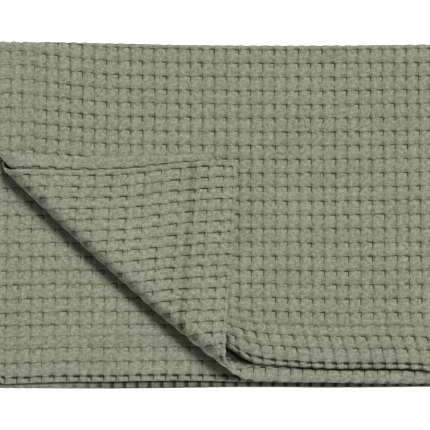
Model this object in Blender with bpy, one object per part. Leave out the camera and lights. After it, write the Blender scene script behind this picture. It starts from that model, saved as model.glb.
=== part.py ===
"""A cot blanket of waffle weave cotton, folded in four with its front left corner turned back.

The cloth is one piece with its own turned hem on all four edges. It is folded right over left
and then front to back, so four layers lie on each other: the fold of the first turn is on the
right, the fold of the second is at the back, and the hemmed edges are on the left and in front.
From below the layers are D, C, B and A. A and D are one ply and B and C the other. The front
left corner of A and B together is turned back over a soft diagonal roll and lies on A.

Metres, +Z up, +Y to the back. The origin is under the middle of the folded blanket.
"""

import math

import bmesh
import bpy

# The cloth, laid flat.
FLAT_WIDTH = 1.00
FLAT_DEPTH = 0.75
CLOTH = 0.003
CORNER_RADIUS = 0.014

# The stack. PITCH is the height from the middle of one layer to the middle of the next.
PITCH = 0.0042
HALF_PITCH = PITCH / 2
LOWER_PAIR_Z = CLOTH / 2 + HALF_PITCH
UPPER_PAIR_Z = LOWER_PAIR_Z + 2 * PITCH
BACK_RADIUS = PITCH
TURNED_PAIR_RISE = 2 * PITCH

# Where the two folds lie. Places are measured from the front left corner of the stack.
RIGHT_FOLD_X = 0.4942
RIGHT_FOLD_U = {"lower": 0.502, "upper": 0.5035}
BACK_FOLD_V = 0.3810
BACK_FOLD = [
    {"x": -0.008, "y": 0.3766},
    {"x": 0.060, "y": 0.3758},
    {"x": 0.120, "y": 0.3746},
    {"x": 0.200, "y": 0.3728},
    {"x": 0.360, "y": 0.3726},
    {"x": 0.430, "y": 0.3735},
    {"x": 0.500, "y": 0.3733},
]

# How far each layer's left edge lies from the corner of the stack.
LEFT_EDGE = {"D": -0.008, "C": -0.004, "B": 0.002, "A": -0.004}
CORNER_FLARE = 0.0062
CORNER_FLARE_FROM = 0.63
CORNER_FLARE_OVER = 0.09

# Each layer's front edge, from left to right: none of them is quite straight.
FRONT_EDGES = [
    {"x": 0.000, "D": 0.0016, "C": 0.0040, "B": 0.0000, "A": 0.0290},
    {"x": 0.060, "D": 0.0013, "C": 0.0065, "B": 0.0010, "A": 0.0300},
    {"x": 0.110, "D": 0.0012, "C": 0.0070, "B": 0.0030, "A": 0.0320},
    {"x": 0.180, "D": 0.0018, "C": 0.0080, "B": 0.0065, "A": 0.0390},
    {"x": 0.225, "D": 0.0026, "C": 0.0075, "B": 0.0090, "A": 0.0415},
    {"x": 0.240, "D": 0.0027, "C": 0.0070, "B": 0.0082, "A": 0.0318},
    {"x": 0.250, "D": 0.0027, "C": 0.0070, "B": 0.0068, "A": 0.0250},
    {"x": 0.262, "D": 0.0027, "C": 0.0068, "B": 0.0058, "A": 0.0220},
    {"x": 0.290, "D": 0.0026, "C": 0.0060, "B": 0.0050, "A": 0.0200},
    {"x": 0.325, "D": 0.0022, "C": 0.0060, "B": 0.0045, "A": 0.0174},
    {"x": 0.365, "D": 0.0024, "C": 0.0050, "B": 0.0040, "A": 0.0172},
    {"x": 0.405, "D": 0.0028, "C": 0.0045, "B": 0.0037, "A": 0.0168},
    {"x": 0.440, "D": 0.0032, "C": 0.0045, "B": 0.0035, "A": 0.0140},
    {"x": 0.500, "D": 0.0034, "C": 0.0040, "B": 0.0035, "A": 0.0125},
]

# The diagonal roll of the turned-back corner. ALONG runs down the crease from the left edge to
# the front edge. START is where B leaves the stack, measured square to the crease; REACH is how
# far B's roll stands out from there; LAG is how much sooner A turns than B; LIFT is how much
# higher the roll stands than the corner that lies flat beyond it.
DIAGONAL_ROLL = [
    {"along": -0.180, "start": 0.1815, "reach": 0.0105, "lag": 0.0030, "lift": 0.0078},
    {"along": -0.150, "start": 0.1790, "reach": 0.0088, "lag": 0.0015, "lift": 0.0055},
    {"along": -0.060, "start": 0.1758, "reach": 0.0081, "lag": 0.0000, "lift": 0.0034},
    {"along": 0.030, "start": 0.1761, "reach": 0.0080, "lag": 0.0000, "lift": 0.0034},
    {"along": 0.080, "start": 0.1778, "reach": 0.0085, "lag": 0.0050, "lift": 0.0050},
    {"along": 0.120, "start": 0.1814, "reach": 0.0098, "lag": 0.0125, "lift": 0.0078},
    {"along": 0.158, "start": 0.1866, "reach": 0.0114, "lag": 0.0150, "lift": 0.0108},
]
ROLL_EASES_OVER = 0.055
BIAS_STRETCH = 1.09
LEAST_REACH = 0.0036
BLUNTNESS = 0.9

# Soft swells in the upper layers, each a low round mound or hollow.
SWELLS = [
    {"x": 0.100, "y": 0.300, "radius": 0.070, "height": 0.0008},
    {"x": 0.300, "y": 0.320, "radius": 0.080, "height": -0.0009},
    {"x": 0.430, "y": 0.210, "radius": 0.075, "height": 0.0009},
    {"x": 0.320, "y": 0.110, "radius": 0.060, "height": -0.0007},
    {"x": 0.150, "y": 0.190, "radius": 0.050, "height": 0.0008},
    {"x": 0.440, "y": 0.050, "radius": 0.055, "height": 0.0006},
]
SWELL_SHARE = {"D": 0.0, "C": 0.4, "B": 0.7, "A": 1.0}

# The mesh: how many faces run across and along each layer's flat part, and where the lines lie
# that give the two folds and the diagonal roll their roundness. The roll's are in millimetres.
FLAT_COLUMNS = 15
MERGE_DISTANCE = 0.0005
FLAT_ROWS = 12
RIGHT_FOLD_LINES = [0.0, 0.0011, 0.0022, 0.0033]
BACK_FOLD_LINES = [0.0, 0.0011, 0.0022, 0.0033, 0.0055, 0.0077, 0.0099]
EDGE_LINES = [0.0, CORNER_RADIUS / 3, CORNER_RADIUS]
ROLL_LINES = {
    "A": [-20, -12, -6, -2, 1, 3, 5, 7, 9, 11, 13, 16, 20, 25, 31, 38, 46, 56, 68, 82],
    "B": [-8, 1, 4, 7, 10, 13, 16, 19, 22, 26, 31, 38, 46, 56, 68, 82],
}


def from_table(rows, key, column, value):
    """The column's value at a place between the rows, read along a smooth curve through them."""
    keys = [row[key] for row in rows]
    values = [row[column] for row in rows]
    if value <= keys[0]:
        return values[0]
    if value >= keys[-1]:
        return values[-1]
    last = len(rows) - 1
    i = next(n for n in range(last) if keys[n + 1] >= value)
    span = keys[i + 1] - keys[i]
    before, after = max(i - 1, 0), min(i + 2, last)
    slope_in = (values[i + 1] - values[before]) / (keys[i + 1] - keys[before]) * span
    slope_out = (values[after] - values[i]) / (keys[after] - keys[i]) * span
    t = (value - keys[i]) / span
    start = (2 * t**3 - 3 * t**2 + 1) * values[i] + (t**3 - 2 * t**2 + t) * slope_in
    end = (3 * t**2 - 2 * t**3) * values[i + 1] + (t**3 - t**2) * slope_out
    return start + end


def smooth_step(t):
    t = min(max(t, 0.0), 1.0)
    return t * t * (3 - 2 * t)


def round_corner(u, v):
    """Draws the corners of the flat cloth in to a quarter circle."""
    du = min(u, FLAT_WIDTH - u)
    dv = min(v, FLAT_DEPTH - v)
    if du >= CORNER_RADIUS or dv >= CORNER_RADIUS:
        return u, v
    across = 1 - du / CORNER_RADIUS
    along = 1 - dv / CORNER_RADIUS
    shrink = max(across, along) / math.hypot(across, along)
    du = CORNER_RADIUS * (1 - across * shrink)
    dv = CORNER_RADIUS * (1 - along * shrink)
    return (du if u < FLAT_WIDTH / 2 else FLAT_WIDTH - du), (dv if v < FLAT_DEPTH / 2 else FLAT_DEPTH - dv)


def right_fold_u(v):
    upper_share = smooth_step((v / FLAT_DEPTH - 0.4) / 0.2)
    return RIGHT_FOLD_U["lower"] + (RIGHT_FOLD_U["upper"] - RIGHT_FOLD_U["lower"]) * upper_share


def layer_of(u, v):
    first_ply = u < right_fold_u(v)
    if v < BACK_FOLD_V:
        return "D" if first_ply else "C"
    return "A" if first_ply else "B"


def across_the_fold(u, v):
    """(x, offset): the place from left to right, and the height above the middle of the two plies."""
    fold = right_fold_u(v)
    distance = abs(u - fold)
    side = 1 if u < fold else -1
    quarter = HALF_PITCH * math.pi / 2
    if distance < quarter:
        angle = distance / HALF_PITCH
        return RIGHT_FOLD_X + HALF_PITCH * math.cos(angle), side * HALF_PITCH * math.sin(angle)
    lower, upper = ("D", "A") if side > 0 else ("C", "B")
    upper_share = smooth_step((v / FLAT_DEPTH - 0.35) / 0.3)
    left = LEFT_EDGE[lower] + (LEFT_EDGE[upper] - LEFT_EDGE[lower]) * upper_share
    if upper == "B":
        left -= CORNER_FLARE * smooth_step((v - CORNER_FLARE_FROM) / CORNER_FLARE_OVER)
    whole = (fold if side > 0 else FLAT_WIDTH - fold) - quarter
    return RIGHT_FOLD_X - (distance - quarter) / whole * (RIGHT_FOLD_X - left), side * HALF_PITCH


def swell(x, y):
    height = 0.0
    for row in SWELLS:
        away = math.hypot(x - row["x"], y - row["y"]) / row["radius"]
        height += row["height"] * math.exp(-away * away)
    return height


def along_half_ellipse(distance, reach, rise):
    """(out, up) of a point that far along the blunt half ellipse from its foot, and what is left over."""
    steps = 48
    out, up = 0.0, 0.0
    for step in range(1, steps + 1):
        angle = math.pi * step / steps
        next_out = reach * math.sin(angle) ** BLUNTNESS
        next_up = rise * (1 - math.cos(angle))
        length = math.hypot(next_out - out, next_up - up)
        if distance <= length:
            share = distance / length
            return out + (next_out - out) * share, up + (next_up - up) * share, 0.0
        distance -= length
        out, up = next_out, next_up
    return 0.0, 2 * rise, distance


def turn_back(x, y, offset):
    """(x, y, height above the upper pair's middle) of a point of A or B once its corner is turned back."""
    along = (x - y) / math.sqrt(2)
    names = ("start", "reach", "lag", "lift")
    row = {name: from_table(DIAGONAL_ROLL, "along", name, along) for name in names}
    inner = max(offset, 0.0) / HALF_PITCH
    lag = row["lag"] * inner
    past = row["start"] - (x + y) / math.sqrt(2) + lag
    if past <= 0:
        return x, y, offset

    def pair_rise(behind):
        ease = (1 + math.cos(math.pi * min(behind / ROLL_EASES_OVER, 1.0))) / 2
        return TURNED_PAIR_RISE + row["lift"] * ease

    rise = pair_rise(lag) / 2 - offset
    reach = row["reach"] if offset < 0 else max(row["reach"] - PITCH, LEAST_REACH)
    out, up, left_over = along_half_ellipse(past, reach, rise)
    out -= lag
    height = offset + up
    if left_over > 0:
        out -= left_over * BIAS_STRETCH
        height = pair_rise(-out) - offset
    square = row["start"] - out
    return (square + along) / math.sqrt(2), (square - along) / math.sqrt(2), height


def folded(u, v):
    """Where the flat point (u, v) of the cloth's middle surface lies in the folded blanket."""
    u, v = round_corner(u, v)
    x, offset = across_the_fold(u, v)
    first, second = ("D", "C") if v < BACK_FOLD_V else ("A", "B")
    first_share = 0.5 + 0.5 * offset / HALF_PITCH
    swell_share = SWELL_SHARE[second] + (SWELL_SHARE[first] - SWELL_SHARE[second]) * first_share
    back = from_table(BACK_FOLD, "x", "y", x)
    radius = BACK_RADIUS + offset
    distance = abs(v - BACK_FOLD_V)
    quarter = radius * math.pi / 2
    if distance < quarter:
        angle = (v - BACK_FOLD_V) / radius
        y = back + radius * math.cos(angle)
        z = LOWER_PAIR_Z + BACK_RADIUS + radius * math.sin(angle)
        return x, y, z + swell(x, y) * swell_share * (0.5 + 0.5 * math.sin(angle))
    front_first, front_second = [from_table(FRONT_EDGES, "x", ply, x) for ply in (first, second)]
    front = front_second + (front_first - front_second) * first_share
    whole = (BACK_FOLD_V if v < BACK_FOLD_V else FLAT_DEPTH - BACK_FOLD_V) - quarter
    y = back - (distance - quarter) / whole * (back - front)
    if v < BACK_FOLD_V:
        return x, y, LOWER_PAIR_Z - offset + swell(x, y) * swell_share
    x, y, height = turn_back(x, y, offset)
    return x, y, UPPER_PAIR_Z + height + swell(x, y) * swell_share


def one_side(lines, edge, count):
    """Places from a fold out to an edge: the fold's lines, then even steps, then the edge's lines."""
    inner, outer = lines[-1], edge - EDGE_LINES[-1]
    steps = [inner + (outer - inner) * step / count for step in range(1, count)]
    return lines + steps + [edge - line for line in reversed(EDGE_LINES)]


def both_sides(lines, low_edge, high_edge, count):
    """Places from one edge, over a fold at zero, to the other edge."""
    before = [-place for place in one_side(lines, low_edge, count)]
    return before[:0:-1] + one_side(lines, high_edge, count)


def flat_grid():
    """The cloth laid flat, as a bmesh of quads with lines along both folds."""
    mesh = bmesh.new()
    rows = both_sides(BACK_FOLD_LINES, BACK_FOLD_V, FLAT_DEPTH - BACK_FOLD_V, FLAT_ROWS)
    grid = []
    for from_fold in rows:
        v = BACK_FOLD_V + from_fold
        fold = right_fold_u(v)
        columns = both_sides(RIGHT_FOLD_LINES, fold, FLAT_WIDTH - fold, FLAT_COLUMNS)
        grid.append([mesh.verts.new((fold + across, v, 0.0)) for across in columns])
    for low, high in zip(grid, grid[1:]):
        for i in range(len(low) - 1):
            mesh.faces.new((low[i], low[i + 1], high[i + 1], high[i]))
    return mesh


def add_roll_lines(mesh, layer):
    """Cuts the flat cloth along lines parallel to the diagonal crease, on the layer's half only."""
    first_ply = layer == "A"
    quarter = (BACK_RADIUS + (HALF_PITCH if first_ply else -HALF_PITCH)) * math.pi / 2
    edge = 0.0 if first_ply else FLAT_WIDTH
    inward = 1 if first_ply else -1
    middle = from_table(DIAGONAL_ROLL, "along", "start", 0.0) * math.sqrt(2)
    back_flat_v = BACK_FOLD_V + quarter
    for past in [line / 1000 for line in ROLL_LINES[layer]]:
        # On the cloth's left edge, the line passes this far in front of where its flat part starts.
        from_back = BACK_FOLD[0]["y"] - (middle - past * math.sqrt(2) - LEFT_EDGE[layer])
        point = (edge, back_flat_v + from_back, 0.0)
        upper = [f for f in mesh.faces if layer_of(*f.calc_center_median().xy) == layer]
        near = [f for f in upper if f.calc_center_median().y > back_flat_v]
        edges = {e for f in near for e in f.edges}
        verts = {v for f in near for v in f.verts}
        bmesh.ops.bisect_plane(
            mesh,
            geom=list(verts) + list(edges) + near,
            dist=MERGE_DISTANCE,
            plane_co=point,
            plane_no=(inward, -1.0, 0.0),
        )


def cotton():
    material = bpy.data.materials.new("cotton")
    material.use_nodes = True
    shader = material.node_tree.nodes["Principled BSDF"]
    shader.inputs["Base Color"].default_value = (0.262, 0.270, 0.196, 1.0)
    shader.inputs["Roughness"].default_value = 0.92
    shader.inputs["Metallic"].default_value = 0.0
    material.diffuse_color = (0.262, 0.270, 0.196, 1.0)
    return material


def build_blanket():
    mesh = flat_grid()
    for layer in ROLL_LINES:
        add_roll_lines(mesh, layer)
    low_x, high_x = min(LEFT_EDGE.values()), RIGHT_FOLD_X + HALF_PITCH + CLOTH / 2
    low_y = min(row["D"] for row in FRONT_EDGES)
    high_y = BACK_FOLD[0]["y"] + BACK_RADIUS + HALF_PITCH + CLOTH / 2
    for vert in mesh.verts:
        x, y, z = folded(vert.co.x, vert.co.y)
        vert.co = (x - (low_x + high_x) / 2, y - (low_y + high_y) / 2, z)
    bmesh.ops.reverse_faces(mesh, faces=mesh.faces)
    data = bpy.data.meshes.new("blanket")
    mesh.to_mesh(data)
    mesh.free()
    blanket = bpy.data.objects.new("blanket", data)
    bpy.context.scene.collection.objects.link(blanket)
    data.materials.append(cotton())
    data.shade_smooth()
    solid = blanket.modifiers.new("thickness", "SOLIDIFY")
    solid.thickness = CLOTH
    solid.offset = 0.0
    solid.use_even_offset = False


for old in list(bpy.data.objects):
    bpy.data.objects.remove(old)
build_blanket()
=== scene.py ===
import math

import bpy
import numpy as np
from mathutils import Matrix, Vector


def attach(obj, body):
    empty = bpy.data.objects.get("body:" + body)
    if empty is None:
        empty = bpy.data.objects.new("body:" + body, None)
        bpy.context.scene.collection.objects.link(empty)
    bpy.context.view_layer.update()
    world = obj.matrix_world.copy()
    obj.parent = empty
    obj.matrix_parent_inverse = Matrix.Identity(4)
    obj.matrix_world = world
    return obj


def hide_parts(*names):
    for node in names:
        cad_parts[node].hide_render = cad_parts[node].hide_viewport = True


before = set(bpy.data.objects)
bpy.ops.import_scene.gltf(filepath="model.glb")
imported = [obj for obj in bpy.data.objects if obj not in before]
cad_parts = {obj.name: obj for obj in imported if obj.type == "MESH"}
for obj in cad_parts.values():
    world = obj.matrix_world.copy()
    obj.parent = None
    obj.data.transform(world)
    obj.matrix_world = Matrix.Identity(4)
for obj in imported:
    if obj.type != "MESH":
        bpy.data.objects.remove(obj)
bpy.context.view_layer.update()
bpy.ops.object.select_all(action="DESELECT")

# The blanket: one piece of waffle weave cotton, 100 by 75 cm, its four edges turned under and
# stitched down. It is folded in four, with the front left corner of the two upper layers turned
# back over a soft roll. The pits of the weave are sunk into its face; its back is plain but for the
# hems.

# The cloth, laid flat. U runs from its left edge and V from its front edge.
FLAT_WIDTH = 1.00
FLAT_DEPTH = 0.75
CORNER_RADIUS = 0.014

# The stack: four layers, D, C, B and A from below. A and D are one ply and B and C the other. PITCH
# is the height from the middle of one layer to the middle of the next.
PITCH = 0.0042
HALF_PITCH = PITCH / 2
LOWER_PAIR_Z = 0.0036
UPPER_PAIR_Z = LOWER_PAIR_Z + 2 * PITCH
BACK_RADIUS = PITCH
TURNED_PAIR_RISE = 2 * PITCH
CORNER_OF_STACK = (-0.2449, -0.1928)

# The fold at the right and the fold at the back. Places are measured from the corner of the stack.
RIGHT_FOLD_X = 0.4942
RIGHT_FOLD_U = {"lower": 0.502, "upper": 0.5035}
FIRST_PLY_ENDS = 0.503
BACK_FOLD_V = 0.3810
BACK_FOLD = {
    "x": [-0.008, 0.060, 0.120, 0.200, 0.360, 0.430, 0.500],
    "y": [0.3766, 0.3758, 0.3746, 0.3728, 0.3726, 0.3735, 0.3733],
}

# Each layer's left edge. From CORNER_FLARE_FROM on, the turned corner's free edge moves out.
LEFT_EDGE = {"D": -0.008, "C": -0.004, "B": 0.002, "A": -0.004}
CORNER_FLARE = 0.0062
CORNER_FLARE_FROM = 0.63
CORNER_FLARE_OVER = 0.09

# Each layer's front edge, from left to right: none of them is quite straight.
FRONT_EDGES = {
    "x": [0.000, 0.060, 0.110, 0.180, 0.225, 0.240, 0.250, 0.262, 0.290, 0.325, 0.365, 0.405, 0.440, 0.500],
    "D": [
        0.0016, 0.0013, 0.0012, 0.0018, 0.0026, 0.0027, 0.0027,
        0.0027, 0.0026, 0.0022, 0.0024, 0.0028, 0.0032, 0.0034,
    ],
    "C": [
        0.0040, 0.0065, 0.0070, 0.0080, 0.0075, 0.0070, 0.0070,
        0.0068, 0.0060, 0.0060, 0.0050, 0.0045, 0.0045, 0.0040,
    ],
    "B": [
        0.0000, 0.0010, 0.0030, 0.0065, 0.0090, 0.0082, 0.0068,
        0.0058, 0.0050, 0.0045, 0.0040, 0.0037, 0.0035, 0.0035,
    ],
    "A": [
        0.0290, 0.0300, 0.0320, 0.0390, 0.0415, 0.0318, 0.0250,
        0.0220, 0.0200, 0.0174, 0.0172, 0.0168, 0.0140, 0.0125,
    ],
}

# The diagonal roll of the turned corner. ALONG runs down the crease from the left edge to the front
# edge. START is where B leaves the stack, square to the crease; REACH is how far B's roll stands out
# from there; LAG is how much sooner A turns than B; LIFT is how much higher the roll stands than the
# corner that lies flat beyond it.
DIAGONAL_ROLL = {
    "along": [-0.180, -0.150, -0.060, 0.030, 0.080, 0.120, 0.158],
    "start": [0.1815, 0.1790, 0.1758, 0.1761, 0.1778, 0.1814, 0.1866],
    "reach": [0.0105, 0.0088, 0.0081, 0.0080, 0.0085, 0.0098, 0.0114],
    "lag": [0.0030, 0.0015, 0.0000, 0.0000, 0.0050, 0.0125, 0.0150],
    "lift": [0.0078, 0.0055, 0.0034, 0.0034, 0.0050, 0.0078, 0.0108],
}
ROLL_EASES_OVER = 0.055
BIAS_STRETCH = 1.09
LEAST_REACH = 0.0036
BLUNTNESS = 0.9

# Soft swells in the upper layers: each one's place, radius and height.
SWELLS = [
    (0.100, 0.300, 0.070, 0.0008),
    (0.300, 0.320, 0.080, -0.0009),
    (0.430, 0.210, 0.075, 0.0009),
    (0.320, 0.110, 0.060, -0.0007),
    (0.150, 0.190, 0.050, 0.0008),
    (0.440, 0.050, 0.055, 0.0006),
]
SWELL_SHARE = {"D": 0.0, "C": 0.4, "B": 0.7, "A": 1.0}


def from_table(table, key, column, places):
    """The column's values at those places, read along a smooth curve through the table's rows."""
    keys, values = np.array(table[key]), np.array(table[column])
    last = len(keys) - 1
    places = np.clip(places, keys[0], keys[-1])
    i = np.clip(np.searchsorted(keys, places) - 1, 0, last - 1)
    span = keys[i + 1] - keys[i]
    before, after = np.maximum(i - 1, 0), np.minimum(i + 2, last)
    slope_in = (values[i + 1] - values[before]) / (keys[i + 1] - keys[before]) * span
    slope_out = (values[after] - values[i]) / (keys[after] - keys[i]) * span
    t = (places - keys[i]) / span
    start = (2 * t**3 - 3 * t**2 + 1) * values[i] + (t**3 - 2 * t**2 + t) * slope_in
    end = (3 * t**2 - 2 * t**3) * values[i + 1] + (t**3 - t**2) * slope_out
    return start + end


def smooth_step(t):
    """0 up to 0, 1 from 1 on, and a soft slope between."""
    t = np.clip(t, 0.0, 1.0)
    return t * t * (3 - 2 * t)


def round_corner(u, v):
    """Draws the corners of the flat cloth in to a quarter circle."""
    du, dv = np.minimum(u, FLAT_WIDTH - u), np.minimum(v, FLAT_DEPTH - v)
    across, along = 1 - du / CORNER_RADIUS, 1 - dv / CORNER_RADIUS
    inside = (across > 0) & (along > 0)
    across, along = np.maximum(across, 1e-9), np.maximum(along, 1e-9)
    shrink = np.maximum(across, along) / np.hypot(across, along)
    du = np.where(inside, CORNER_RADIUS * (1 - across * shrink), du)
    dv = np.where(inside, CORNER_RADIUS * (1 - along * shrink), dv)
    u = np.where(u < FLAT_WIDTH / 2, du, FLAT_WIDTH - du)
    v = np.where(v < FLAT_DEPTH / 2, dv, FLAT_DEPTH - dv)
    return u, v


def along_half_ellipse(distance, reach, rise):
    """How far out and up each point lies along its half ellipse, and what is left over past the end."""
    steps = 48
    left = distance.copy()
    out, up = np.zeros_like(distance), np.zeros_like(distance)
    found = np.zeros(distance.shape, bool)
    at_out, at_up = np.zeros_like(distance), np.zeros_like(distance)
    for step in range(1, steps + 1):
        angle = math.pi * step / steps
        next_out, next_up = reach * math.sin(angle) ** BLUNTNESS, rise * (1 - math.cos(angle))
        length = np.hypot(next_out - at_out, next_up - at_up)
        here = ~found & (left <= length)
        share = left / length
        out = np.where(here, at_out + (next_out - at_out) * share, out)
        up = np.where(here, at_up + (next_up - at_up) * share, up)
        found |= here
        left = np.where(found, left, left - length)
        at_out, at_up = next_out, next_up
    return np.where(found, out, 0.0), np.where(found, up, 2 * rise), np.where(found, 0.0, left)


def corner_flare(v):
    """How far the turned corner's free edge lies out from a straight one."""
    return CORNER_FLARE * smooth_step((v - CORNER_FLARE_FROM) / CORNER_FLARE_OVER)


def turn_back(x, y, offset):
    """Turns the corner of the two upper layers back over the diagonal roll."""
    along = (x - y) / math.sqrt(2)
    names = ("start", "reach", "lag", "lift")
    start, reach, lag, lift = [from_table(DIAGONAL_ROLL, "along", name, along) for name in names]
    lag = lag * np.maximum(offset, 0) / HALF_PITCH
    past = start - (x + y) / math.sqrt(2) + lag

    def pair_rise(behind):
        ease = (1 + np.cos(math.pi * np.clip(behind / ROLL_EASES_OVER, 0, 1))) / 2
        return TURNED_PAIR_RISE + lift * ease

    rise = pair_rise(lag) / 2 - offset
    reach = np.where(offset < 0, reach, np.maximum(reach - PITCH, LEAST_REACH))
    out, up, left_over = along_half_ellipse(np.maximum(past, 0), reach, rise)
    out = out - lag
    beyond = left_over > 0
    out = np.where(beyond, out - left_over * BIAS_STRETCH, out)
    height = np.where(beyond, pair_rise(-out) - offset, offset + up)
    square = start - out
    turned = past > 0
    new_x = np.where(turned, (square + along) / math.sqrt(2), x)
    new_y = np.where(turned, (square - along) / math.sqrt(2), y)
    return new_x, new_y, np.where(turned, height, offset)


def lay_out(u, v):
    """Where each point of the flat cloth's middle lies in the folded blanket."""
    fold = RIGHT_FOLD_U["lower"] + (RIGHT_FOLD_U["upper"] - RIGHT_FOLD_U["lower"]) * smooth_step(
        (v / FLAT_DEPTH - 0.4) / 0.2
    )
    first_ply = u < fold
    side = np.where(first_ply, 1.0, -1.0)
    distance = np.abs(u - fold)
    quarter = HALF_PITCH * math.pi / 2
    angle = np.minimum(distance, quarter) / HALF_PITCH
    upper_share = smooth_step((v / FLAT_DEPTH - 0.35) / 0.3)
    left_first = LEFT_EDGE["D"] + (LEFT_EDGE["A"] - LEFT_EDGE["D"]) * upper_share
    left_second = LEFT_EDGE["C"] + (LEFT_EDGE["B"] - LEFT_EDGE["C"]) * upper_share
    left_second = left_second - corner_flare(v)
    left = np.where(first_ply, left_first, left_second)
    whole = np.where(first_ply, fold, FLAT_WIDTH - fold) - quarter
    flat_x = RIGHT_FOLD_X - (distance - quarter) / whole * (RIGHT_FOLD_X - left)
    in_fold = distance < quarter
    x = np.where(in_fold, RIGHT_FOLD_X + HALF_PITCH * np.cos(angle), flat_x)
    offset = side * HALF_PITCH * np.sin(angle)
    first_share = 0.5 + 0.5 * offset / HALF_PITCH

    back = from_table(BACK_FOLD, "x", "y", x)
    radius = BACK_RADIUS + offset
    distance = np.abs(v - BACK_FOLD_V)
    quarter = radius * math.pi / 2
    lower = v < BACK_FOLD_V
    fronts = {layer: from_table(FRONT_EDGES, "x", layer, x) for layer in "ABCD"}
    front_lower = fronts["C"] + (fronts["D"] - fronts["C"]) * first_share
    front_upper = fronts["B"] + (fronts["A"] - fronts["B"]) * first_share
    front = np.where(lower, front_lower, front_upper)
    whole = np.where(lower, BACK_FOLD_V, FLAT_DEPTH - BACK_FOLD_V) - quarter
    share = np.clip((distance - quarter) / whole, 0, 1)
    # The rows keep their own spacing from the back, a little wider at the left of the top layer.
    run = whole * (0.9935 + 0.0080 * smooth_step((0.20 - x) / 0.12) * first_share)
    # What is left over is taken up near the top layer's front edge, and evenly in the others.
    taken_up = np.where(first_ply & ~lower, share ** (4 + 3.5 * smooth_step((0.275 - x) / 0.035)), share)
    flat_y = back - share * run - (back - front - run) * taken_up
    turn = np.clip((v - BACK_FOLD_V) / radius, -math.pi / 2, math.pi / 2)
    in_back = distance < quarter
    y = np.where(in_back, back + radius * np.cos(turn), flat_y)
    z_fold = LOWER_PAIR_Z + BACK_RADIUS + radius * np.sin(turn)
    turned_x, turned_y, height = turn_back(x, y, offset)
    upper_flat = ~in_back & ~lower
    x, y = np.where(upper_flat, turned_x, x), np.where(upper_flat, turned_y, y)
    z = np.where(in_back, z_fold, np.where(lower, LOWER_PAIR_Z - offset, UPPER_PAIR_Z + height))

    swell = sum(h * np.exp(-((x - sx) ** 2 + (y - sy) ** 2) / r**2) for sx, sy, r, h in SWELLS)
    share_lower = SWELL_SHARE["C"] + (SWELL_SHARE["D"] - SWELL_SHARE["C"]) * first_share
    share_upper = SWELL_SHARE["B"] + (SWELL_SHARE["A"] - SWELL_SHARE["B"]) * first_share
    share = np.where(
        in_back,
        share_lower + (share_upper - share_lower) * (0.5 + 0.5 * np.sin(turn)),
        np.where(lower, share_lower, share_upper),
    )
    return np.stack([x + CORNER_OF_STACK[0], y + CORNER_OF_STACK[1], z + swell * share], axis=-1)


# The waffle: pits in rows and columns, each a shallow box with a deep crease under the two ridges
# that stand over it, and soft cushions where the ridges cross. CELL is one repeat, across and along.
# At the far end of the cloth the hem squeezes the repeats: one of them holds the stitching.
CELL = (0.01225, 0.015625)
FIRST_ROW_ENDS = 0.0113
STITCHED_ROW = (0.69515, 0.70615)
LAST_ROW_STARTS = 0.73360
LOWER_STITCHED_ROW = (0.0425, 0.0582)
cell_edges_u = np.concatenate(
    [[0.0], 0.00482 + CELL[0] * np.arange(42), np.linspace(0.50707, 0.9973, 41)[1:], [FLAT_WIDTH]]
)
cell_edges_v = np.concatenate(
    [[0.0], FIRST_ROW_ENDS + CELL[1] * np.arange(44), STITCHED_ROW, [0.71825, LAST_ROW_STARTS, FLAT_DEPTH]]
)

# One pit, across and along from its middle: the two walls that its creases lie under, the crease
# itself, the edge of its floor, and the two walls on the other side.
WALL = (0.0033, 0.0041)
CREASE = (0.0025, 0.0033)
FLOOR = (0.0018, 0.0026)
FAR_WALL = (-0.0030, -0.0036)
CREASE_WIDTH = 0.00075
WIDE_CREASE = 0.0018
CREASE_DEPTH = 0.0017
FLOOR_DEPTH = 0.0005
SEAM_DEPTH = 0.0002
CUSHION = 0.0006

# The sheet: how far its face and its back lie from its middle, and its rounded edge and hem.
FACE = 0.0011
BACK = 0.0013
EDGE_ROUND = 0.0020
HEM = {"side": 0.041, "front": 0.048, "turned": 0.042, "turned side": 0.0375}
STITCHED_HEMS = [("side", "turned side"), ("front", "turned")]
HEM_PUFF = 0.0004
STITCH_WIDTH = 0.0014
STITCH_DEPTH = 0.0006

chance = np.random.default_rng(5)
cell_count = (len(cell_edges_u), len(cell_edges_v))
pit_shift = chance.uniform(-0.0005, 0.0005, (2, *cell_count))
pit_size = chance.uniform(0.88, 1.10, (2, *cell_count))
pit_depth = chance.uniform(0.55, 1.15, cell_count)
pit_lean = chance.uniform(-0.10, 0.10, (2, *cell_count))


def in_cell(u, v):
    """Each point's cell, and how far it is from the middle of that cell's pit."""
    at, from_middle = [], []
    for place, edges, size in ((u, cell_edges_u, CELL[0]), (v, cell_edges_v, CELL[1])):
        i = np.clip(np.searchsorted(edges, place + 1e-7) - 1, 0, len(edges) - 2)
        middle = (edges[i] + edges[i + 1]) / 2
        middle = np.where(i == 0, edges[1] - size / 2, middle)
        if size == CELL[0]:
            middle = np.where(i == len(edges) - 2, edges[-2] + size / 2, middle)
        at.append(i)
        from_middle.append(place - middle)
    return tuple(at), *from_middle


def edge_distance(u, v):
    """How far each point of the flat cloth is from the nearest edge."""
    return np.minimum.reduce([u, FLAT_WIDTH - u, v, FLAT_DEPTH - v])


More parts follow.
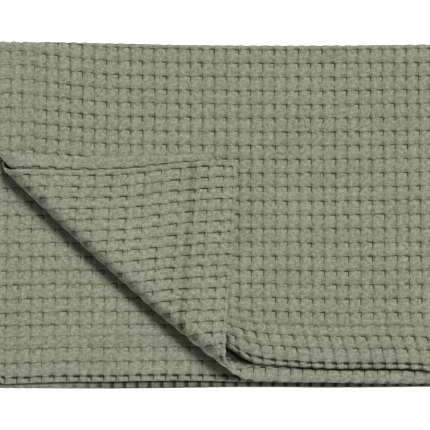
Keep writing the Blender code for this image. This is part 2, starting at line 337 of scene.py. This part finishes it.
def uneven(u, v, on_back):
    """Where each line point of the mesh lies in the flat cloth: the weave isn't quite even."""
    at, across, along = in_cell(u, v)
    mid_u, mid_v = np.cos(math.pi * across / CELL[0]) ** 2, np.cos(math.pi * along / CELL[1]) ** 2
    hold = np.sqrt(np.clip(mid_u * mid_v, 0, 1))
    du = pit_shift[0][at] + across * (pit_size[0][at] - 1) + along * pit_lean[0][at]
    dv = pit_shift[1][at] + along * (pit_size[1][at] - 1) + across * pit_lean[1][at]
    hold = hold * smooth_step((edge_distance(u, v) - EDGE_ROUND) / 0.004)
    du, dv = du * hold, dv * hold
    # The edge is nipped in a little at each pit.
    nip = 0.0003 + 0.0042 * (pit_size[0][at] - 0.88)
    du = du + nip * mid_v * (smooth_step(1 - u / 0.006) - smooth_step(1 - (FLAT_WIDTH - u) / 0.006))
    dv = dv + nip * mid_u * (0.2 * smooth_step(1 - v / 0.006) - smooth_step(1 - (FLAT_DEPTH - v) / 0.006))
    first_ply, upper = u < FIRST_PLY_ENDS, v > BACK_FOLD_V
    # The left hem draws the rows of the top layer back.
    drawn = 0.0073 * (1 - 4.0 * np.clip(v - 0.42, 0, 0.08)) * smooth_step((0.122 - u) / 0.090)
    drawn = drawn + 0.0024 * smooth_step((0.043 - u) / 0.003)
    drawn = drawn * smooth_step((v - 0.20) / 0.16) * smooth_step((0.70 - v) / 0.14)
    dv = dv - np.where(first_ply, drawn, 0.0)
    # The front hem of the top layer has crept along to the right.
    crept = smooth_step((v - 0.685) / 0.060) * smooth_step((u - 0.20) / 0.03)
    crept = crept * smooth_step((0.47 - u) / 0.03)
    du = du + 0.0115 * crept
    # Its rows lie nearer to the front edge.
    crowded = 0.0050 * smooth_step((v - 0.674) / 0.030) * smooth_step((FLAT_DEPTH - v) / 0.010)
    dv = dv + np.where(first_ply & upper, crowded * smooth_step((u - 0.225) / 0.055), 0.0)
    # The layer under the turned corner has slipped forward, and its front hem is drawn together.
    slipped = -0.0066 * smooth_step((v - 0.036) / 0.045) * smooth_step((0.34 - v) / 0.06)
    dv = dv + np.where(~first_ply & ~upper, slipped, 0.0)
    # The turned corner is stretched towards its edges, and the rows of its lowest ply lie nearer to it.
    stretched = 0.0075 * smooth_step((v - 0.675) / 0.035) * smooth_step((FLAT_DEPTH - v) / 0.020)
    in_front = -0.0028 * smooth_step((v - 0.715) / 0.015) * smooth_step((FLAT_DEPTH - v) / 0.008)
    corner = smooth_step((u - 0.745) / 0.020)
    second_upper = upper & ~first_ply
    dv = dv + np.where(second_upper, in_front + (stretched - in_front) * corner, 0.0)
    gathered = 0.045 * np.clip(0.985 - u, 0, 0.12) * smooth_step((u - 0.76) / 0.09)
    du = du + np.where(second_upper, gathered, 0.0)
    # Pits that show on the back of the cloth: along the turned corner's upper edge, and in front.
    corner_strip = 0.0050 - 0.0055 * smooth_step((v - CORNER_FLARE_FROM) / CORNER_FLARE_OVER)
    corner_strip = corner_strip * smooth_step(u / 0.006) * smooth_step((0.034 - u) / 0.016)
    du = du + np.where(upper & first_ply & on_back, corner_strip, 0.0)
    front_strip = 0.0028 * smooth_step(v / 0.004) * smooth_step((0.018 - v) / 0.008)
    dv = dv + np.where(~upper & first_ply & on_back, front_strip, 0.0)
    return u + du, v + dv


def weave(u, v, lean_u, lean_v, crosswise, full, box):
    """(height, painted shade) of the waffle. The painted shade lies darkest in the creases, fainter along
    the seams, with a soft patch beside them. The leans say which walls the deep creases lie under, crosswise
    where the long crease is the one along the cloth, full how deep the pits are, and box how much painted
    shade darkens the pits all over."""
    at, across, along = in_cell(u, v)
    deep = pit_depth[at] * full
    a, b = across * lean_u, along * lean_v
    inside_a = smooth_step((a - FAR_WALL[0] + 0.0006) / 0.0012) * smooth_step((WALL[0] - a) / 0.0008)
    inside_b = smooth_step((b - FAR_WALL[1] + 0.0006) / 0.0012) * smooth_step((WALL[1] - b) / 0.0008)
    # In the deep pits of the row next to an edge, the crease is wide as well.
    width_b = np.where((full > 1.15) & (b < CREASE[1]), WIDE_CREASE, CREASE_WIDTH)
    crease_a = np.clip(1 - np.abs(a - CREASE[0]) / CREASE_WIDTH, 0, 1) * inside_b
    crease_b = np.clip(1 - np.abs(b - CREASE[1]) / width_b, 0, 1) * inside_a
    # The floor slopes down to the creases, and the creases run out before the pit's corners.
    ramp_a = 0.45 * smooth_step((a + 0.0012) / 0.0036) * inside_a * inside_b
    ramp_b = 0.45 * smooth_step((b + 0.0010) / 0.0042) * inside_a * inside_b
    long_a = smooth_step((b + 0.0052) / 0.0030)
    short_a = 0.95 * smooth_step((b + 0.0046) / 0.0046)
    long_b = smooth_step((a + 0.0042) / 0.0024)
    short_b = 0.90 * smooth_step((a + 0.0036) / 0.0040)
    crease_a = crease_a * np.where(crosswise, long_a, short_a)
    crease_b = crease_b * np.where(crosswise, short_b, long_b)
    crease = np.maximum(crease_a, crease_b) * deep
    slope = 0.35 + 0.65 * smooth_step((a / WALL[0] + b / WALL[1] + 1.2) / 2.4)
    floor = inside_a * inside_b * slope * deep
    # Between one pit and the next the crease goes on as a fine seam with a little painted shade,
    # and a soft patch of painted shade lies beside it.
    seam_a = np.clip(1 - np.abs(a - FLOOR[0]) / CREASE_WIDTH, 0, 1) * (np.abs(b) > WALL[1] - 1e-5)
    seam_b = np.clip(1 - np.abs(b - FLOOR[1]) / CREASE_WIDTH, 0, 1) * (np.abs(a) > WALL[0] - 1e-5)
    seam = np.where(crosswise, seam_a, seam_b)
    half_u, half_v = CELL[0] / 2, CELL[1] / 2
    painted_smudge_shade = np.exp(-(((a - 0.0020) / 0.0017) ** 2)) * np.exp(-(((np.abs(b) - half_v) / 0.0034) ** 2))
    painted_smudge_shade = np.where(crosswise, 0.0, painted_smudge_shade) * (1.7 - pit_depth[at]) * np.where(v < BACK_FOLD_V, 0.35, full)
    between = (1 - np.cos(math.pi * across / half_u)) / 2
    beyond = (1 - np.cos(math.pi * along / half_v)) / 2
    cushion = CUSHION * (0.45 * between + 0.55 * between * beyond)
    sunk = np.maximum(crease, np.maximum(ramp_a, ramp_b) * deep)
    height = cushion - CREASE_DEPTH * sunk - FLOOR_DEPTH * floor - SEAM_DEPTH * seam
    box = box * inside_b * smooth_step((0.0032 - np.abs(across)) / 0.0012)
    return height, np.maximum(crease, box) + 0.30 * seam + 0.24 * painted_smudge_shade


def in_hem(u, v):
    """1 on the turned-under hem and 0 inside it."""
    from_sides = HEM["side"] - np.minimum(u, FLAT_WIDTH - u)
    from_ends = np.where(u < FIRST_PLY_ENDS, HEM["front"], HEM["turned"]) - np.minimum(v, FLAT_DEPTH - v)
    return smooth_step(np.maximum(from_sides, from_ends) / 0.003)


def stitched(u, v):
    """How near each point is to the stitching of the side hems, and to that of the end hems."""
    side, end = [np.where(u < FIRST_PLY_ENDS, HEM[a], HEM[b]) for a, b in STITCHED_HEMS]
    from_sides = np.minimum(u, FLAT_WIDTH - u) - side
    from_ends = np.minimum(v, FLAT_DEPTH - v) - end
    return np.exp(-((from_sides / STITCH_WIDTH) ** 2)), np.exp(-((from_ends / STITCH_WIDTH) ** 2))


# The lines that the cloth's mesh is drawn on, repeat by repeat: three at each deep crease, and a
# few close lines along the cloth's edges, where it is rounded. The second half of the width and of
# the depth has creases on both sides of its pits, because those layers lie the other way round.
ROUNDED_EDGE = [0.0003, 0.0008, 0.0016]


def mesh_lines(bounds, axis, change):
    """(lines, corners): every line's place, and which lines bound a tile of the mesh."""
    total = bounds[-1]
    lines, corners = [0.0], [0]
    for low, high in zip(bounds, bounds[1:]):
        middle = (low + high) / 2
        if low == 0.0:
            middle = high - CELL[axis] / 2
        elif high == total and axis == 0:
            middle = low + CELL[axis] / 2
        near = [FLOOR[axis], CREASE[axis], WALL[axis]]
        both = middle > change or middle < 0.016
        far = [-place for place in reversed(near)] if both else [FAR_WALL[axis]]
        inner = [middle + place for place in far + [0.0] + near]
        inner = [place for place in inner if low < place < high]
        if low == 0.0:
            inner = ROUNDED_EDGE + [place for place in inner if place > EDGE_ROUND]
        if high == total:
            inner = [place for place in inner if place < total - EDGE_ROUND]
            inner += [total - place for place in reversed(ROUNDED_EDGE)]
        lines += inner + [high]
        corners.append(len(lines) - 1)
    return np.array(lines), corners


lines_u, corners_u = mesh_lines(cell_edges_u, 0, 0.510)
lines_v, corners_v = mesh_lines(cell_edges_v, 1, 0.372)
last_u, last_v = len(lines_u) - 1, len(lines_v) - 1


STACK_DEPTH = 0.374
FINE, MIDDLING, COARSE = 1, 2, 8


def tile_steps():
    """For each tile of the face and of the back, how many lines it skips: few where it shows."""
    middle_u = np.array([(lines_u[a] + lines_u[b]) / 2 for a, b in zip(corners_u, corners_u[1:])])
    middle_v = np.array([(lines_v[a] + lines_v[b]) / 2 for a, b in zip(corners_v, corners_v[1:])])
    u, v = np.meshgrid(middle_u, middle_v, indexing="ij")
    place = lay_out(u, v) - np.array([*CORNER_OF_STACK, 0.0])
    x, y = place[..., 0], place[..., 1]
    upper, first_ply = v > BACK_FOLD_V, u < RIGHT_FOLD_U["upper"]
    square = (x + y) / math.sqrt(2)
    near_right_fold = np.abs(u - FIRST_PLY_ENDS) < 0.014
    near_back_fold = np.abs(v - BACK_FOLD_V) < 0.020
    edge_u = np.minimum(u, FLAT_WIDTH - u) < 0.012
    edge_v = np.minimum(v, FLAT_DEPTH - v) < 0.014
    # Where the flat point would lie with the corner not turned back, measured square to the crease.
    flat_x = np.where(first_ply, u, FLAT_WIDTH - u) * 0.99
    flat_y = STACK_DEPTH - np.abs(v - BACK_FOLD_V)
    flat_square = (flat_x + flat_y) / math.sqrt(2)
    turned = upper & (flat_square < 0.185)
    under_flap = upper & first_ply & ~turned & (x < 0.222) & (y < 0.222) & (square > 0.195)
    face = np.full(u.shape, COARSE)
    face[upper & first_ply] = FINE
    face[under_flap | (upper & first_ply & turned & (flat_square < 0.155))] = COARSE
    face[upper & ~first_ply & (flat_square < 0.196)] = FINE
    face[~upper & ~first_ply & (flat_square < 0.192)] = FINE
    face[~upper & first_ply] = COARSE
    face[(edge_u | edge_v) & (face > MIDDLING)] = MIDDLING
    face[edge_v & ~upper & ~first_ply] = FINE
    face[near_right_fold & (face > MIDDLING)] = MIDDLING
    face[near_right_fold & first_ply] = FINE
    face[near_back_fold & (face > MIDDLING)] = MIDDLING
    face[near_back_fold & first_ply & (v > 0.368)] = FINE
    back = np.full(u.shape, COARSE)
    back[upper & (np.abs(flat_square - 0.165) < 0.022)] = MIDDLING
    back[(edge_u | edge_v)] = MIDDLING
    back[near_right_fold | near_back_fold] = MIDDLING
    back[upper & first_ply & (u < 0.026) & (v > 0.49)] = FINE
    back[upper & (v > 0.718) & ~first_ply & (u < 0.78)] = FINE
    back[~upper & edge_v & first_ply] = FINE
    return face, back


def tile_faces(steps, sign, other, points):
    """The faces of one side of the cloth, tile by tile, meeting each neighbour's finer lines."""

    def marks(corners, index, step):
        low, high = corners[index], corners[index + 1]
        return list(range(low, high, step)) + [high]

    def point(i, j):
        rim = i in (0, last_u) or j in (0, last_v)
        key = (0 if rim else sign, i, j)
        return points.setdefault(key, len(points))

    def between(low, high, corners, index, step):
        return [m for m in marks(corners, index, step) if low < m < high]

    def beside(a, b, own):
        if 0 <= a < steps.shape[0] and 0 <= b < steps.shape[1]:
            return min(steps[a, b], own)
        return min(other[min(max(a, 0), steps.shape[0] - 1), min(max(b, 0), steps.shape[1] - 1)], own)

    faces = []
    for a in range(steps.shape[0]):
        for b in range(steps.shape[1]):
            step = steps[a, b]
            across, along = marks(corners_u, a, step), marks(corners_v, b, step)
            for i0, i1 in zip(across, across[1:]):
                for j0, j1 in zip(along, along[1:]):
                    ring = [(i0, j0)]
                    if j0 == along[0]:
                        ring += [(m, j0) for m in between(i0, i1, corners_u, a, beside(a, b - 1, step))]
                    ring.append((i1, j0))
                    if i1 == across[-1]:
                        ring += [(i1, m) for m in between(j0, j1, corners_v, b, beside(a + 1, b, step))]
                    ring.append((i1, j1))
                    if j1 == along[-1]:
                        marked = between(i0, i1, corners_u, a, beside(a, b + 1, step))
                        ring += [(m, j1) for m in reversed(marked)]
                    ring.append((i0, j1))
                    if i0 == across[0]:
                        marked = between(j0, j1, corners_v, b, beside(a - 1, b, step))
                        ring += [(i0, m) for m in reversed(marked)]
                    face = [point(i, j) for i, j in ring]
                    faces.append(face[::-1] if sign > 0 else face)
    return faces


def fullness(u, v, on_back):
    """How deep the pits are in each part of the cloth: deepest in the rows next to the front edges."""
    upper, first_ply = v > BACK_FOLD_V, u < FIRST_PLY_ENDS
    full = np.ones(u.shape)
    full = np.where(first_ply & upper & (v > STITCHED_ROW[0]) & (v < STITCHED_ROW[1]), 0.30, full)
    full = np.where(first_ply & upper & (v > LAST_ROW_STARTS), 1.40, full)
    full = np.where(first_ply & upper & (u < 0.0415) & ~on_back, 0.70, full)
    full = np.where(~first_ply & ~upper, 0.74, full)
    in_stitches = (v > LOWER_STITCHED_ROW[0]) & (v < LOWER_STITCHED_ROW[1])
    full = np.where(~first_ply & ~upper & in_stitches, 0.40, full)
    full = np.where(~first_ply & ~upper & (v < FIRST_ROW_ENDS), 1.20, full)
    full = np.where(first_ply & ~upper & on_back, 0.10, full)
    # The back fold pulls its pits flat.
    return full * (0.45 + 0.55 * smooth_step((np.abs(v - BACK_FOLD_V) - 0.001) / 0.007))


# How dark the shade is that gathers in the narrow gaps.
SHADE_BESIDE_CORNER = 0.60
SHADE_UNDER_TOP = 0.60
SHADE_UNDER_TOP_AT_CORNER = 0.25
SHADE_ON_LIP = 0.26
SHADE_IN_CORNER_GAP = 0.85
SHADE_UNDER_ROLL = 0.24


def gap_shade(middle, v, flat_u, flat_v, sign, first_ply, upper):
    """Shade beside and under the turned corner, and where the top layer stands over the next one."""
    on_back = sign < 0
    x, y = middle[:, 0] - CORNER_OF_STACK[0], middle[:, 1] - CORNER_OF_STACK[1]
    corner_edge = 0.0156 - corner_flare(flat_v)
    beside = np.exp(-(((flat_u - corner_edge) / 0.0011) ** 2)) * (first_ply & upper & on_back)
    # The top layer's front edge stands highest off the next layer near the turned corner.
    reach = 0.0010 + 0.0050 * smooth_step((0.256 - x) / 0.012) + 0.005 * smooth_step((0.243 - x) / 0.006)
    beneath = smooth_step((y - from_table(FRONT_EDGES, "x", "A", x) + reach) / (0.0018 + 0.2 * reach))
    beneath = np.where(~first_ply & upper & on_back, beneath, 0.0)
    lip = smooth_step((v - FLAT_DEPTH + 0.0012) / 0.0009) * (first_ply & upper) * (sign <= 0)
    corner_gap = np.exp(-(((x - 0.2294) / 0.0018) ** 2)) * smooth_step((0.058 - y) / 0.006)
    corner_gap = corner_gap * (first_ply & upper & ~on_back & (v > 0.68))
    along_roll, to_roll = (x - y) / math.sqrt(2), (x + y) / math.sqrt(2)
    start, bulge = [from_table(DIAGONAL_ROLL, "along", name, along_roll) for name in ("start", "reach")]
    under_roll = smooth_step((to_roll - start + bulge + 0.0110) / 0.0070) * (~first_ply & ~upper & ~on_back)
    under_top = SHADE_UNDER_TOP + SHADE_UNDER_TOP_AT_CORNER * smooth_step((0.262 - x) / 0.012)
    shade = SHADE_BESIDE_CORNER * beside + under_top * beneath + SHADE_ON_LIP * lip
    return shade + SHADE_IN_CORNER_GAP * corner_gap + SHADE_UNDER_ROLL * under_roll


def facing(flat_u, flat_v):
    """Which way the cloth faces at each point, worked out from its neighbours."""
    small = 0.0002
    low_u, high_u = np.maximum(flat_u - small, 0), np.minimum(flat_u + small, FLAT_WIDTH)
    low_v, high_v = np.maximum(flat_v - small, 0), np.minimum(flat_v + small, FLAT_DEPTH)
    across = lay_out(high_u, flat_v) - lay_out(low_u, flat_v)
    along = lay_out(flat_u, high_v) - lay_out(flat_u, low_v)
    out = np.cross(along, across)
    return out / np.linalg.norm(out, axis=1)[:, None]


def shaped(keys):
    """Every point's place in the blanket, its place in the flat cloth, and its painted shade (a painted
    highlight below zero).
    """
    sign, i, j = (np.array(column) for column in zip(*keys))
    u, v = lines_u[i], lines_v[j]
    upper, first_ply, on_back = v > BACK_FOLD_V, u < FIRST_PLY_ENDS, sign < 0
    # As the blanket lies, the deep creases, with their painted shade, are under the back and right walls of
    # the pits that show, the walls nearest the light, so they lean the other way on layers that are turned
    # over or turned round.
    lean_u = np.where(on_back, np.where(first_ply & ~upper, 1, -1), np.where(first_ply | upper, 1, -1))
    lean_v = np.where(on_back, np.where(upper & ~first_ply, -1, 1), np.where(first_ply & upper, -1, 1))
    crosswise = upper & (first_ply == on_back)
    flat_u, flat_v = round_corner(*uneven(u, v, on_back))
    out = facing(flat_u, flat_v)
    middle = lay_out(flat_u, flat_v)
    # On the roll the pits are pulled open and painted shade darkens them all over; painted shade also
    # darkens the pits on the lowest layer's front strip, where it lies in shade.
    turned_corner = ~first_ply & upper & ~on_back & (v > 0.42)
    front_strip = first_ply & ~upper
    on_roll = smooth_step((0.96 - np.abs(out[:, 2])) / 0.3)
    in_shade = smooth_step((u - 0.055) / 0.070)
    box = np.where(turned_corner, 0.30 * on_roll, 0.0)
    box = np.where(front_strip & on_back, 0.15 + 0.25 * in_shade, box)
    ridge, painted_shade = weave(u, v, lean_u, lean_v, crosswise, fullness(u, v, on_back), box)
    hem = in_hem(flat_u, flat_v)
    side_stitch, end_stitch = stitched(flat_u, flat_v)
    stitch = np.maximum(side_stitch, end_stitch)
    face = FACE + ridge + HEM_PUFF * hem - STITCH_DEPTH * stitch
    back = -BACK - hem * (HEM_PUFF + 0.5 * ridge)
    rounding = np.sqrt(1 - (1 - np.clip(edge_distance(u, v) / EDGE_ROUND, 0, 1)) ** 2)
    height = np.where(sign > 0, face, np.where(on_back, back, 0.0)) * rounding
    places = middle + out * height[:, None]
    places[:, 2] = np.maximum(places[:, 2], 0.0)
    # A painted highlight lightens the roll's brow.
    painted_brow_highlight = np.where(turned_corner, 0.24 * np.exp(-(((out[:, 2] + 0.15) / 0.22) ** 2)), 0.0)
    # Painted shade: on the back only in the hems; on the face a little more in the sunk stitch lines.
    painted_shade = np.where(on_back, painted_shade * hem, painted_shade + 0.10 * stitch - painted_brow_highlight)
    # Painted shade where the roll turns from the light; darker by the end stitching, paler by the side
    # stitching.
    roll_shade_and_hem_tone = 0.36 * end_stitch - 0.20 * side_stitch + 0.10 * on_roll
    painted_shade = painted_shade + np.where(turned_corner, roll_shade_and_hem_tone, 0.0)
    # The deep pits next to the front edges take more painted shade.
    painted_shade = np.where(first_ply & upper & (v > LAST_ROW_STARTS) & ~on_back, painted_shade * 1.9, painted_shade)
    painted_shade = np.where(~first_ply & ~upper & (v < FIRST_ROW_ENDS) & ~on_back, painted_shade * 1.35, painted_shade)
    painted_shade = painted_shade + gap_shade(middle, v, flat_u, flat_v, sign, first_ply, upper)
    # Painted shade darkens the lowest layer's front strip, more towards the right.
    painted_shade = painted_shade + (0.06 + 0.22 * in_shade) * (front_strip & (v < 0.012) & (sign <= 0))
    return places, np.stack([flat_u, flat_v], axis=1), painted_shade


face_steps, back_steps = tile_steps()
points = {}
faces = tile_faces(face_steps, 1, back_steps, points)
faces += tile_faces(back_steps, -1, face_steps, points)
places, flat, painted_shade = shaped(list(points))
cloth = bpy.data.meshes.new("blanket_cloth")
cloth.from_pydata(places.tolist(), [], faces)
corner_points = np.empty(len(cloth.loops), np.int32)
cloth.loops.foreach_get("vertex_index", corner_points)
cloth.uv_layers.new(name="flat_cloth").data.foreach_set("uv", flat[corner_points].astype(np.float32).ravel())
cloth.attributes.new("painted_shade", "FLOAT", "POINT").data.foreach_set("value", painted_shade.astype(np.float32))
cloth.shade_smooth()
blanket = bpy.data.objects.new("waffle_blanket", cloth)
bpy.context.scene.collection.objects.link(blanket)


class Wire:
    """One output of a material's node, so that maths on it is written as an expression."""

    def __init__(self, tree, socket):
        self.tree, self.socket = tree, socket

    def node(self, kind, settings, inputs, output=0):
        made = self.tree.nodes.new(kind)
        for name, value in settings.items():
            setattr(made, name, value)
        for name, value in inputs.items():
            if isinstance(value, Wire):
                self.tree.links.new(value.socket, made.inputs[name])
            else:
                made.inputs[name].default_value = value
        return Wire(self.tree, made.outputs[output])

    def part(self, output):
        return Wire(self.tree, self.socket.node.outputs[output])

    def maths(self, operation, first, second=0.0):
        return self.node("ShaderNodeMath", {"operation": operation}, {0: first, 1: second})

    def __add__(self, other):
        return self.maths("ADD", self, other)

    def __radd__(self, other):
        return self.maths("ADD", other, self)

    def __sub__(self, other):
        return self.maths("SUBTRACT", self, other)

    def __rsub__(self, other):
        return self.maths("SUBTRACT", other, self)

    def __mul__(self, other):
        return self.maths("MULTIPLY", self, other)

    def __rmul__(self, other):
        return self.maths("MULTIPLY", other, self)


# The yarn's two colours, and the near black of the painted shade in the pits and gaps.
DARK_YARN = (0.160, 0.173, 0.110, 1.0)
PALE_YARN = (0.390, 0.411, 0.306, 1.0)
PAINTED_SHADE_COLOUR = (0.018, 0.020, 0.010, 1.0)
PICKS_TO_A_CELL = 14
ENDS_TO_A_CELL = 12


def sage_cotton():
    """Matt sage green cotton: two tones of yarn in specks and slubs, with painted shade in the pits and
    gaps.
    """
    material = bpy.data.materials.new("sage_cotton")
    material.use_nodes = True
    tree = material.node_tree
    shader = tree.nodes["Principled BSDF"]
    board = Wire(tree, None)
    flat_cloth = board.node("ShaderNodeUVMap", {"uv_map": "flat_cloth"}, {})
    # The painted shade carried by the cloth's points; below zero it is a painted highlight.
    pit = board.node("ShaderNodeAttribute", {"attribute_name": "painted_shade"}, {}, "Fac")

    def noise(scale, detail=2.0, rough=0.5):
        inputs = {"Vector": flat_cloth, "Scale": scale, "Detail": detail, "Roughness": rough}
        return board.node("ShaderNodeTexNoise", {}, inputs)

    def mixed(share, first, second, clamped=True):
        settings = {"data_type": "RGBA", "clamp_factor": clamped}
        return board.node("ShaderNodeMix", settings, {0: share, 6: first, 7: second}, 2)

    speckle = noise(800, 2.0, 0.6)
    slubs = noise(260, 2.0, 0.6)
    patches = noise(22)
    tone = 0.52 + (speckle - 0.5) * 2.6 + (slubs - 0.5) * 2.0 + (patches - 0.5) * 0.35
    yarn = mixed(tone, DARK_YARN, PALE_YARN)
    # Towards the near black this is painted shade; below zero it makes the cloth paler, a painted highlight.
    shade_share = board.node("ShaderNodeClamp", {}, {"Value": pit * 1.45, "Min": -0.45, "Max": 0.97})
    colour = mixed(shade_share, yarn, PAINTED_SHADE_COLOUR, clamped=False)
    tree.links.new(colour.socket, shader.inputs["Base Color"])

    # The yarns themselves, across and along, under the fuzz.
    place = board.node("ShaderNodeSeparateXYZ", {}, {"Vector": flat_cloth})
    u, v = place.part("X"), place.part("Y")
    picks = board.maths("SINE", v * (2 * math.pi * PICKS_TO_A_CELL / CELL[1]))
    ends = board.maths("SINE", u * (2 * math.pi * ENDS_TO_A_CELL / CELL[0]))
    fuzz = noise(1500, 3.0, 0.7)
    relief = (picks + ends) * 0.12 + (speckle - 0.5) * 0.9 + (slubs - 0.5) * 1.1 + (fuzz - 0.5) * 0.5
    bump = board.node("ShaderNodeBump", {}, {"Height": relief, "Strength": 0.8, "Distance": 0.0008})
    tree.links.new(bump.socket, shader.inputs["Normal"])
    shader.inputs["Roughness"].default_value = 0.92
    shader.inputs["Specular IOR Level"].default_value = 0.2
    shader.inputs["Sheen Weight"].default_value = 0.08
    shader.inputs["Sheen Roughness"].default_value = 0.6
    return material


cloth.materials.append(sage_cotton())
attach(blanket, "root")
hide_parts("blanket")

# The stage: a wide plain white floor for the blanket to lie on. It isn't part of the object.
bpy.ops.mesh.primitive_plane_add(size=8.0, location=(0.0, 0.0, 0.0))
floor = bpy.context.object
floor.name = "floor"
paint = bpy.data.materials.new("white_floor")
paint.use_nodes = True
white = paint.node_tree.nodes["Principled BSDF"].inputs
white["Base Color"].default_value = (0.93, 0.93, 0.93, 1.0)
white["Roughness"].default_value = 0.9
white["Emission Color"].default_value = (1.0, 1.0, 1.0, 1.0)
white["Emission Strength"].default_value = 0.80
floor.data.materials.append(paint)

# The light: one broad soft light from behind on the right, a white card that gives a little back
# from the front left, and a pale room all round.
SUN_HEIGHT = math.radians(59)
bpy.ops.object.light_add(type="SUN", location=(1.0, 1.0, 1.5))
sun = bpy.context.object
sun.name = "window"
sun.data.energy = 2.98
sun.data.angle = math.radians(24)
toward = Vector((math.cos(SUN_HEIGHT) * 0.72, math.cos(SUN_HEIGHT) * 0.69, math.sin(SUN_HEIGHT)))
sun.rotation_euler = toward.to_track_quat("Z", "Y").to_euler()
bpy.ops.object.light_add(type="SUN", location=(-1.0, -0.8, 0.4))
card = bpy.context.object
card.name = "white_card"
card.data.energy = 0.35
card.data.angle = math.radians(20)
card.rotation_euler = Vector((-0.75, -0.62, 0.22)).to_track_quat("Z", "Y").to_euler()
world = bpy.data.worlds.new("room")
world.use_nodes = True
world.node_tree.nodes["Background"].inputs["Color"].default_value = (1.0, 1.0, 1.0, 1.0)
world.node_tree.nodes["Background"].inputs["Strength"].default_value = 0.25
bpy.context.scene.world = world
bpy.context.scene.view_settings.view_transform = "Standard"
bpy.context.scene.view_settings.look = "None"

# The camera: straight on to the front edge, looking down at 65 degrees from far off.
CAMERA_HEIGHT = math.radians(65)
CAMERA_AWAY = 6.0
SHOWN_WIDTH = 0.4343
looks_at = (-0.0278, 0.0000, 0.0)
camera_data = bpy.data.cameras.new("camera")
camera = bpy.data.objects.new("camera", camera_data)
bpy.context.scene.collection.objects.link(camera)
camera_data.sensor_width = 36
camera_data.lens = camera_data.sensor_width * CAMERA_AWAY / SHOWN_WIDTH
camera_data.clip_end = 50
camera.location = (
    looks_at[0],
    looks_at[1] - math.cos(CAMERA_HEIGHT) * CAMERA_AWAY,
    looks_at[2] + math.sin(CAMERA_HEIGHT) * CAMERA_AWAY,
)
camera.rotation_euler = (math.pi / 2 - CAMERA_HEIGHT, 0, 0)
bpy.context.scene.camera = camera
